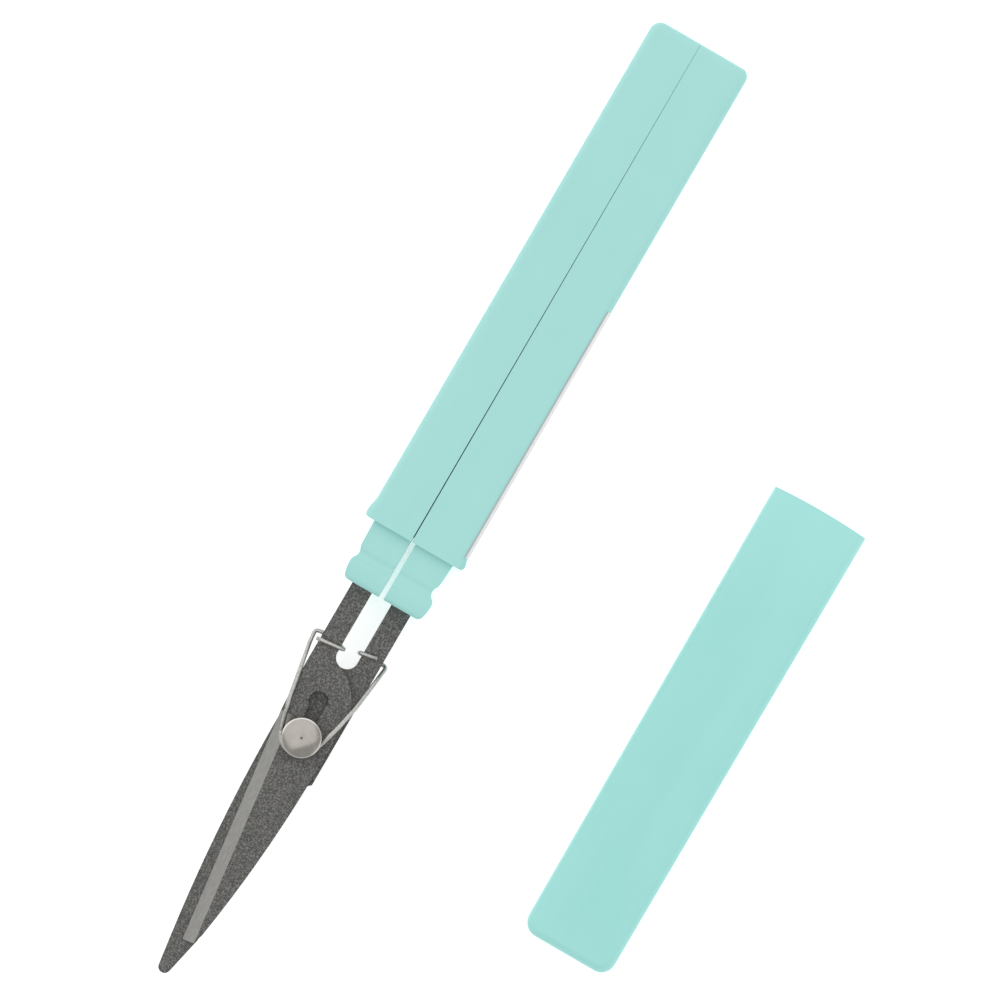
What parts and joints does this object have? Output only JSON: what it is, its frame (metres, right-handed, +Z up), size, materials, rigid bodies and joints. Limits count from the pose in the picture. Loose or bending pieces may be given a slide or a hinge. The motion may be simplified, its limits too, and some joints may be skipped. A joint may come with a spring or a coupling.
{
  "type": "thread snips",
  "caption": "Slim spring-opened thread snips with square plastic handle halves, dark coated blades and a pull-off cap lying beside them.",
  "frame": {"origin": "on the resting plane, on the snips' long axis through the pivot, under the middle of the handle", "axes": "+Z up from the resting plane, +Y along the snips from the blade tips towards the handle's end, +X towards the loose cap"},
  "size_m": [0.0548, 0.1324, 0.012],
  "materials": {
    "handle_plastic": "satin",
    "cap_plastic": "satin",
    "coated_blade": "fine speckled non-stick coating",
    "rivet_steel": "polished",
    "spring_wire": "bright drawn wire",
    "label_paper": "matt, blank"
  },
  "bodies": {
    "right_half": {"handle_right": "handle_plastic", "side_label": "label_paper", "blade_far": "coated_blade", "pivot_rivet": "rivet_steel", "back_washer": "rivet_steel", "opening_spring": "spring_wire"},
    "left_half": {"handle_left": "handle_plastic", "blade_near": "coated_blade"},
    "cap": {"cap": "cap_plastic"}
  },
  "joints": [
    {"name": "blade_pivot", "type": "hinge", "parent": "right_half", "child": "left_half", "pos_m": [0, -0.06325, 0.006], "axis": [0, 0, 1], "range_deg": [0, 18], "stiffness_Nm_per_rad": 0.3, "springref_deg": 34.38, "deforming": ["opening_spring"]},
    {"name": "cap_slide", "type": "slide", "parent": "right_half", "child": "cap", "axis": [-0.3558, -0.9346, 0], "range_m": [0, 0.1161]}
  ]
}
